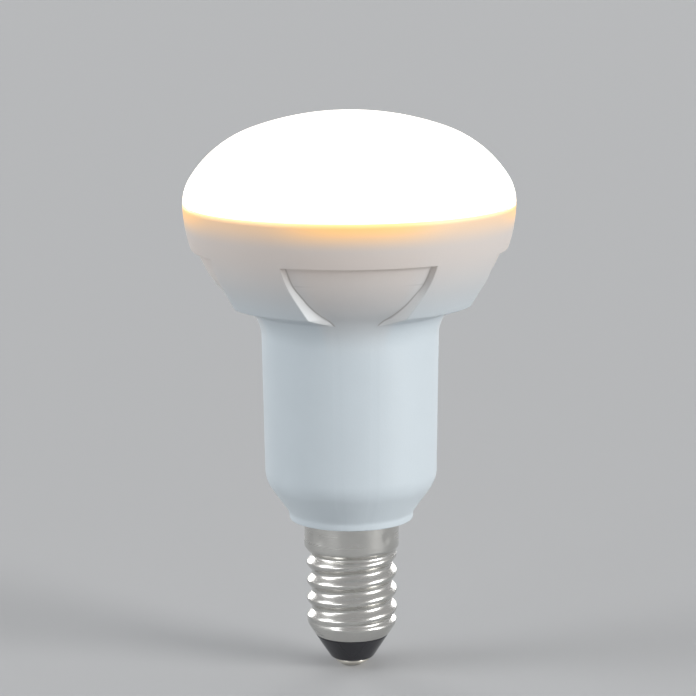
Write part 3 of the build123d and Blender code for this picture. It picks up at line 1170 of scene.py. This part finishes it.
    def keep_lower_ring(self, piece: Piece) -> None:
        """Leaves only the lower of the two open rings selected.

        Args:
            piece: The skin, in edit mode.
        """
        bpy.ops.object.mode_set(mode="OBJECT")
        vertices, halfway = piece.data.vertices, SEAM * MM / 2
        for edge in piece.data.edges:
            if vertices[edge.vertices[0]].co.z > halfway:
                edge.select = False
        for vertex in vertices:
            if vertex.co.z > halfway:
                vertex.select = False
        bpy.ops.object.mode_set(mode="EDIT")

    def finish(self) -> WarmRimPlastic:
        """Places the white plastic's painted warm light and glow at the rim, its painted light on the ribs'
        flanks and its painted shade in their creases.

        Returns:
            The finish.
        """
        flanks = FlankPlace(
            half_width=self.rib_width / 2 * MM,
            widening=self.rib_widening * MM,
            ledge=self.ledge * MM,
            corner=self.corner * MM,
            foot=self.foot * MM,
            lean=self.flank_spread * MM,
            lean_top=(self.band_bottom + self.spread_start) * MM,
            lean_length=self.spread_length * MM,
            band_bottom=self.band_bottom * MM,
        )
        return WarmRimPlastic(
            "white_housing", self.colour, roughness=0.42, mottle=0.02, seam=SEAM * MM, flanks=flanks
        )

    def build(self) -> list[Piece]:
        """Wraps a quarter of the skin, repeats it round the axis, closes it inside and dresses it.

        Returns:
            The housing alone.
        """
        quarter = math.tau / self.rib_count
        turn = Matrix.Rotation(quarter, 3, "Z")
        flip = Matrix.Scale(-1, 3, (1, 0, 0))
        grid = []
        for row in self.rows():
            half = self.half_section(row)
            mirrored = [turn @ (flip @ place) for place in half]
            grid.append(half + mirrored[-2::-1])
        columns, rows = len(grid[0]) - 1, len(grid) - 1
        piece = wrapped_grid("housing_skin", columns, rows, lambda column, row: grid[row][column])
        for _ in range(self.rib_count - 1):
            bpy.ops.mesh.duplicate()
            bpy.ops.transform.rotate(value=quarter, orient_axis="Z", center_override=(0, 0, 0))
        bpy.ops.mesh.select_all(action="SELECT")
        bpy.ops.mesh.remove_doubles(threshold=MERGE_DISTANCE)
        self.line_inside(piece)
        close_mesh(piece)
        return [adopt(piece, "housing", self.finish())]


@dataclass
class ScrewCap(SubAssembly):
    """The screw cap: threaded shell, insulator and centre contact."""

    # Shell
    wall: float = 0.35
    skin_share: float = 0.8
    plain_length: float = 4.6
    taper_length: float = 2.0
    taper_rounding: float = 0.6
    foot_rounding: float = 0.2
    step_length: float = 0.7
    mouth_radius: float = 5.3
    # Thread and crimping marks
    crest_radius: float = 6.925
    thread_depth: float = 0.8
    thread_inset: float = 0.82
    pitch: float = 2.822
    run_out: float = 1.1
    dimple_count: int = 8
    dimple_drop: float = 2.3
    dimple_radius: float = 1.25
    dimple_depth: float = 0.12
    # Insulator and contact
    fit_gap: float = 0.05
    insulator_tip_radius: float = 3.2
    insulator_edge_rounding: float = 0.25
    insulator_tip_rounding: float = 0.5
    contact_radius: float = 2.6
    contact_rim: float = 0.4
    contact_rounding: float = 0.15
    stem_radius: float = 0.9
    # Columns, rows and steps
    columns: int = 144
    thread_rows: int = 150
    rim_steps: int = 5
    wide_rounding_steps: int = 6
    button_steps: int = 14

    def build(self) -> list[Piece]:
        """Builds and dresses the shell, the insulator and the contact."""
        return [self.build_shell(), self.build_insulator(), self.build_contact()]

    def build_shell(self) -> Piece:
        """Wraps the threaded shell, gives it its wall and dresses it.

        Returns:
            The shell.
        """
        low, rim, crest = SHELL_LOW.z / MM, SHELL_HIGH.x / MM, self.crest_radius
        taper_top = low + self.taper_length
        foot, mouth = (self.mouth_radius + self.wall, low), (self.mouth_radius, low)
        shoulder = (crest, taper_top)
        section = rounded_section((rim - self.wall, 0), (rim, 0), (rim, low), self.wall, self.rim_steps)
        for height in spread(-self.wall, taper_top + self.taper_rounding, self.thread_rows)[1:]:
            section.append((self.plain_radius_at(height), height))
        section += rounded_section((crest, 0), shoulder, foot, self.taper_rounding, self.wide_rounding_steps)
        section += rounded_section(shoulder, foot, mouth, self.foot_rounding)

        def place(column: int, row: int) -> Vector:
            """Gives a place on the shell.

            Args:
                column: Its column round the axis.
                row: Its row down the section.

            Returns:
                The place.
            """
            base, height = section[row]
            angle = math.tau * column / self.columns
            away = base - self.groove(angle, height, taper_top) - self.dimple(angle, height)
            return Vector((away * math.cos(angle), away * math.sin(angle), height))

        piece = wrapped_grid("cap_shell_skin", self.columns, len(section) - 1, place)
        close_mesh(piece)
        bpy.ops.object.modifier_add(type="SOLIDIFY")
        thickness = piece.modifiers[-1]
        thickness.thickness = self.wall * self.skin_share * MM
        thickness.offset = -1.0
        bpy.ops.object.modifier_apply(modifier=thickness.name)
        nickel = Metal("nickel_cap", (0.7, 0.69, 0.66), roughness=0.26, grain=Grain.TURNED)
        return adopt(piece, "cap_shell", nickel)

    def plain_radius_at(self, height: float) -> float:
        """Gives the shell's radius without its thread: the rim's, eased to the crests' where the rim ends."""
        rim = SHELL_HIGH.x / MM
        return rim + (self.crest_radius - rim) * ease(0.5 - (height + self.plain_length) / self.step_length)

    def groove(self, angle: float, height: float, thread_end: float) -> float:
        """Gives the depth of the round thread's groove.

        Args:
            angle: The place's angle round the axis.
            height: Its height.
            thread_end: The height of the thread's lower end.

        Returns:
            The depth there.
        """
        phase = (height - thread_end - self.thread_inset) / self.pitch - angle / math.tau
        wave = (1 + math.cos(math.tau * phase)) / 2
        inside = min(-self.plain_length - height, height - thread_end)
        return self.thread_depth * wave * ease(inside / self.run_out)

    def dimple(self, angle: float, height: float) -> float:
        """Gives the depth of the crimping marks round the rim.

        Args:
            angle: The place's angle round the axis.
            height: Its height.

        Returns:
            The depth there.
        """
        step = math.tau / self.dimple_count
        away = (angle + step / 2) % step - step / 2
        distance = math.hypot(away * SHELL_HIGH.x / MM, height + self.dimple_drop) / self.dimple_radius
        return self.dimple_depth * max(0.0, 1 - distance**2) ** 2

    def build_insulator(self) -> Piece:
        """Turns the insulator and dresses it.

        Returns:
            The insulator.
        """
        top, low, seat = INSULATOR_HIGH.z / MM, INSULATOR_LOW.z / MM, SHELL_LOW.z / MM
        stem, body = self.stem_radius + self.fit_gap, self.mouth_radius - self.fit_gap
        edge, tip = (INSULATOR_HIGH.x / MM, seat), (self.insulator_tip_radius, low)
        lathe = Lathe.start("cap_insulator_skin", (body, top), self.columns)
        lathe.follow([(body, seat)])
        lathe.follow(rounded_section((body, seat), edge, tip, self.insulator_edge_rounding))
        lathe.follow(
            rounded_section(edge, tip, (stem, low), self.insulator_tip_rounding, self.wide_rounding_steps)
        )
        lathe.follow([(stem, low), (stem, top), (body, top)])
        glass = Plastic(
            "black_insulator", (0.02, 0.02, 0.024), roughness=0.14, mottle=0.1, grain=600.0, depth=0.00002
        )
        return adopt(lathe.finish(), "cap_insulator", glass)

    def build_contact(self) -> Piece:
        """Turns the contact's button and stem as one piece and dresses it.

        Returns:
            The contact.
        """
        top, low, seat = CONTACT_HIGH.z / MM, CONTACT_LOW.z / MM, INSULATOR_LOW.z / MM
        rim = seat - self.contact_rim
        button = rim - low
        curve = (self.contact_radius**2 + button**2) / (2 * button)
        slope = math.degrees(math.asin(self.contact_radius / curve))
        stem_top, stem_foot = (self.stem_radius, top), (self.stem_radius, seat)
        edge, below_edge = (self.contact_radius, seat), (self.contact_radius, rim)
        lathe = Lathe.start("centre_contact_skin", stem_top, self.columns)
        lathe.follow([stem_foot])
        lathe.follow(rounded_section(stem_foot, edge, below_edge, self.contact_rounding))
        lathe.follow(arc((0, low + curve), curve, slope - 90, -90, self.button_steps)[:-1])
        lathe.pole()
        lathe.open_rings(stem_top)
        lathe.pole()
        plated = Metal("contact_metal", (0.7, 0.67, 0.6), roughness=0.34, grain=Grain.DULL)
        return adopt(lathe.finish(), "centre_contact", plated)


class Innards(SubAssembly):
    """The pieces inside, which keep their own shapes and get their finishes."""

    def finishes(self) -> dict[str, Finish]:
        """Chooses the finishes.

        Returns:
            The finish of each node inside the lamp.
        """
        chip_case = Plastic("black_moulding", (0.03, 0.03, 0.03), roughness=0.55)
        sleeve = Plastic("capacitor_sleeve", (0.04, 0.05, 0.09), roughness=0.3, mottle=0.02)
        wire = Metal("tinned_wire", (0.72, 0.71, 0.68), roughness=0.35, grain=Grain.DULL)
        ferrite = Plastic("ferrite", (0.1, 0.1, 0.11), roughness=0.6, mottle=0.1, grain=2200.0, depth=0.00002)
        return {
            "heat_sink_cup": Metal("spun_aluminium", (0.8, 0.8, 0.8), roughness=0.35, grain=Grain.TURNED),
            "led_board": Plastic("light_board", (0.9, 0.9, 0.88), roughness=0.35, mottle=0.02),
            "led_chips": Plastic("light_chip", (0.92, 0.78, 0.25), roughness=0.2, mottle=0.06),
            "board_screws": Metal("screw_steel", (0.62, 0.62, 0.62), roughness=0.35, grain=Grain.TURNED),
            "driver_board": Plastic("circuit_board", (0.5, 0.38, 0.17), roughness=0.5, mottle=0.08),
            "bridge_rectifier": chip_case,
            "driver_controller": chip_case,
            "input_capacitor": sleeve,
            "output_capacitor": sleeve,
            "choke_core": ferrite,
            "choke_winding": WoundCopper("copper_winding", (0.62, 0.3, 0.15)),
            "output_pin_positive": wire,
            "output_pin_negative": wire,
            "fusible_resistor": Plastic("resistor_body", (0.33, 0.47, 0.5), roughness=0.45),
            "neutral_lead": wire,
        }

    def build(self) -> list[Piece]:
        """Dresses the nodes inside.

        Returns:
            The nodes' objects.
        """
        pieces = []
        for node, finish in self.finishes().items():
            pieces.append(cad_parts[node])
            dress(pieces[-1], finish)
        return pieces


# Studio


def outwards(azimuth: float, elevation: float) -> Vector:
    """Gives the direction from the lamp to an azimuth (0 is -Y, 90 is +X) and an elevation, in degrees."""
    turn, rise = math.radians(azimuth), math.radians(elevation)
    return Vector((math.sin(turn) * math.cos(rise), -math.cos(turn) * math.cos(rise), math.sin(rise)))


@dataclass
class PhotoCamera:
    """The photograph's camera, aimed a little lower so that the cap is in view.

    Its distance is in millimetres, its angles are in degrees, and the seam's place in the frame and the
    lowering are in pixels.
    """

    focal_pixels: float = 2700.0
    frame_pixels: float = 696.0
    sensor: float = 36.0
    distance: float = 405.5
    azimuth: float = -3.6
    elevation: float = 7.45
    seam_right: float = 2.28
    seam_above: float = 97.95
    lowered: float = 48.0
    roll: float = -0.4
    clip_start: float = 0.01

    def build(self) -> Piece:
        """Adds the camera and makes it the scene's.

        Returns:
            The camera.
        """
        place = Vector((0, 0, SEAM * MM)) + outwards(self.azimuth, self.elevation) * self.distance * MM
        below_seam = math.atan((self.seam_above + self.lowered) / self.focal_pixels)
        pitch = math.radians(self.elevation) + below_seam
        yaw = math.radians(self.azimuth) + math.atan(self.seam_right / self.focal_pixels)
        turn = Matrix.Rotation(yaw, 4, "Z") @ Matrix.Rotation(math.pi / 2 - pitch, 4, "X")
        turn = turn @ Matrix.Rotation(math.radians(self.roll), 4, "Z")
        bpy.ops.object.camera_add(location=place, rotation=turn.to_euler())
        camera = added("photo_camera")
        camera.data.sensor_width = self.sensor
        camera.data.lens = self.sensor * self.focal_pixels / self.frame_pixels
        camera.data.clip_start = self.clip_start
        bpy.context.scene.camera = camera
        return camera


@dataclass(frozen=True)
class SoftSun:
    """A wide distant light, which lights the floor as evenly as the lamp, with its angles in degrees."""

    name: str
    azimuth: float
    elevation: float
    width: float
    strength: float
    colour: Colour = (1.0, 1.0, 1.0)

    def build(self) -> None:
        """Adds the light, shining from its azimuth and elevation."""
        back = outwards(self.azimuth, self.elevation)
        bpy.ops.object.light_add(type="SUN", location=back, rotation=back.to_track_quat("Z", "Y").to_euler())
        light = added(self.name)
        light.data.angle = math.radians(self.width)
        light.data.energy = self.strength
        light.data.color = self.colour


@dataclass
class Studio:
    """Floor, world and soft lights."""

    floor_size: float = 30.0
    floor_colour: Colour = (0.54, 0.54, 0.545)
    floor_roughness: float = 0.9
    floor_gloss: float = 0.1
    background: Colour = (0.42, 0.42, 0.425)
    ambient: Colour = (0.38, 0.39, 0.4)
    lights: tuple[SoftSun, ...] = (
        SoftSun("key_right", 60.0, 14.0, 30.0, 2.6, (1.0, 1.0, 0.99)),
        SoftSun("fill_left", -82.0, 24.0, 34.0, 1.15, (0.97, 0.99, 1.0)),
        SoftSun("low_left", -45.0, 5.0, 25.0, 0.6, (0.97, 0.99, 1.0)),
        SoftSun("back_left", -150.0, 9.0, 18.0, 0.9),
        SoftSun("back_right", 150.0, 9.0, 18.0, 0.9),
    )

    def build(self) -> None:
        """Adds the floor under the lamp, the world and the lights."""
        low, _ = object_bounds()
        bpy.ops.object.select_all(action="DESELECT")
        bpy.ops.mesh.primitive_plane_add(size=self.floor_size, location=(0, 0, low.z))
        floor = added("studio_floor")
        paint = Paint("pale_floor")
        paint.set(
            Base_Color=self.floor_colour,
            Roughness=self.floor_roughness,
            Specular_IOR_Level=self.floor_gloss,
        )
        floor.data.materials.append(paint.material)
        floor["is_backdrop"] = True
        self.light_world()
        for light in self.lights:
            light.build()

    def light_world(self) -> None:
        """Lights the scene evenly, and shows a plain background to the camera, in metal and through glass."""
        world = bpy.data.worlds.new("studio_world")
        world.use_nodes = True
        bpy.context.scene.world = world
        nodes = Nodes(world.node_tree)
        camera, glossy, passing = (
            nodes.add("ShaderNodeLightPath", output=f"Is {kind} Ray")
            for kind in ("Camera", "Glossy", "Transmission")
        )
        seen = camera.most(glossy).most(passing)
        sky = world.node_tree.nodes["Background"]
        nodes.connect(sky.inputs["Color"], nodes.mix(seen, self.ambient, self.background))


def main() -> None:
    """Builds and dresses the lamp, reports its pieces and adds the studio."""
    logging.basicConfig(level=logging.INFO, format="%(message)s")
    bpy.context.scene.view_settings.view_transform = "Standard"
    for assembly in (Diffuser(), Housing(), ScrewCap(), Innards()):
        for piece in assembly.build():
            material = piece.data.materials[0]
            LOG.info("%s: %s, %d faces", piece.name, material.name, len(piece.data.polygons))
    Studio().build()
    PhotoCamera().build()


if __name__ == "__main__":
    main()
